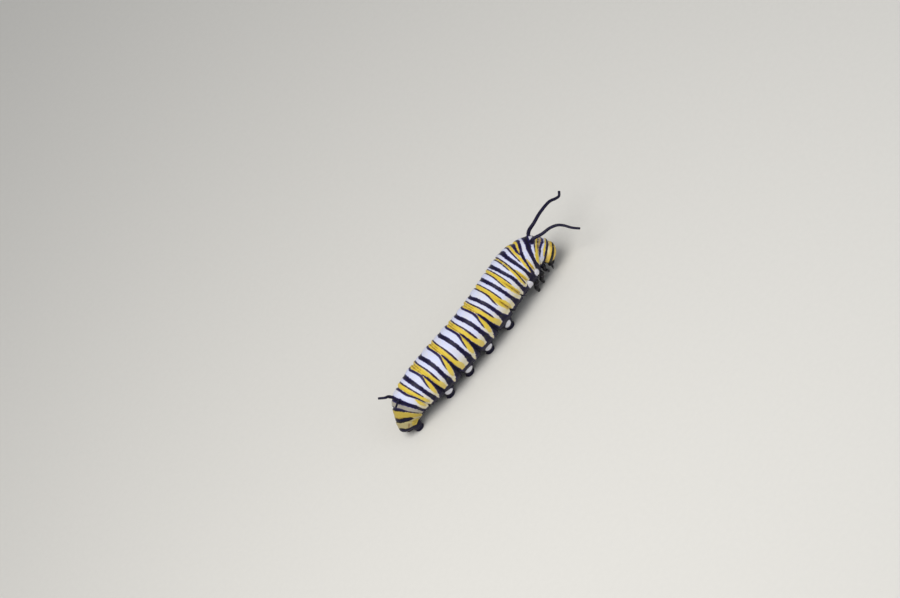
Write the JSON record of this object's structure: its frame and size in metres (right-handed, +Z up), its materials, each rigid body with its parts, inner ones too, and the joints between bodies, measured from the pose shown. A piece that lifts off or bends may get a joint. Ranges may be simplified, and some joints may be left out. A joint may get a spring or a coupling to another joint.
{
  "type": "monarch butterfly larva",
  "caption": "Life-size still model of a banded monarch larva walking with its head bent down, on stubby legs, with a long pair of feelers in front and a short pair behind.",
  "frame": {"origin": "middle of the animal's length and width, on the floor that its feet stand on", "axes": "+X towards the head along the body, +Y to the animal's left, +Z up"},
  "size_m": [0.0458, 0.0096, 0.0087],
  "materials": {
    "skin": "soft moist skin, ringed in white, yellow and black",
    "dark_skin": "soft black skin with a dull gloss",
    "head_shell": "hard glossy shell, black with yellow bands on the head"
  },
  "bodies": {
    "root": {"thorax_1": "skin", "thorax_2": "skin", "thorax_3": "skin", "abdomen_1": "skin", "abdomen_2": "skin", "abdomen_3": "skin", "abdomen_4": "skin", "abdomen_5": "skin", "abdomen_6": "skin", "abdomen_7": "skin", "abdomen_8": "skin", "abdomen_9": "skin", "abdomen_10": "skin", "proleg_3_left": "dark_skin", "proleg_3_right": "dark_skin", "proleg_4_left": "dark_skin", "proleg_4_right": "dark_skin", "proleg_5_left": "dark_skin", "proleg_5_right": "dark_skin", "proleg_6_left": "dark_skin", "proleg_6_right": "dark_skin", "proleg_anal_left": "dark_skin", "proleg_anal_right": "dark_skin", "feeler_front_left_root": "dark_skin", "feeler_front_left_tip": "dark_skin", "feeler_front_right_root": "dark_skin", "feeler_front_right_tip": "dark_skin", "feeler_rear_left": "dark_skin", "feeler_rear_right": "dark_skin", "head": "head_shell", "upper_lip": "head_shell", "lower_lip": "head_shell", "jaw_left": "head_shell", "jaw_right": "head_shell", "antenna_left": "head_shell", "antenna_right": "head_shell", "leg_1_left": "head_shell", "leg_1_right": "head_shell", "leg_2_left": "head_shell", "leg_2_right": "head_shell", "leg_3_left": "head_shell", "leg_3_right": "head_shell"}
  },
  "joints": []
}
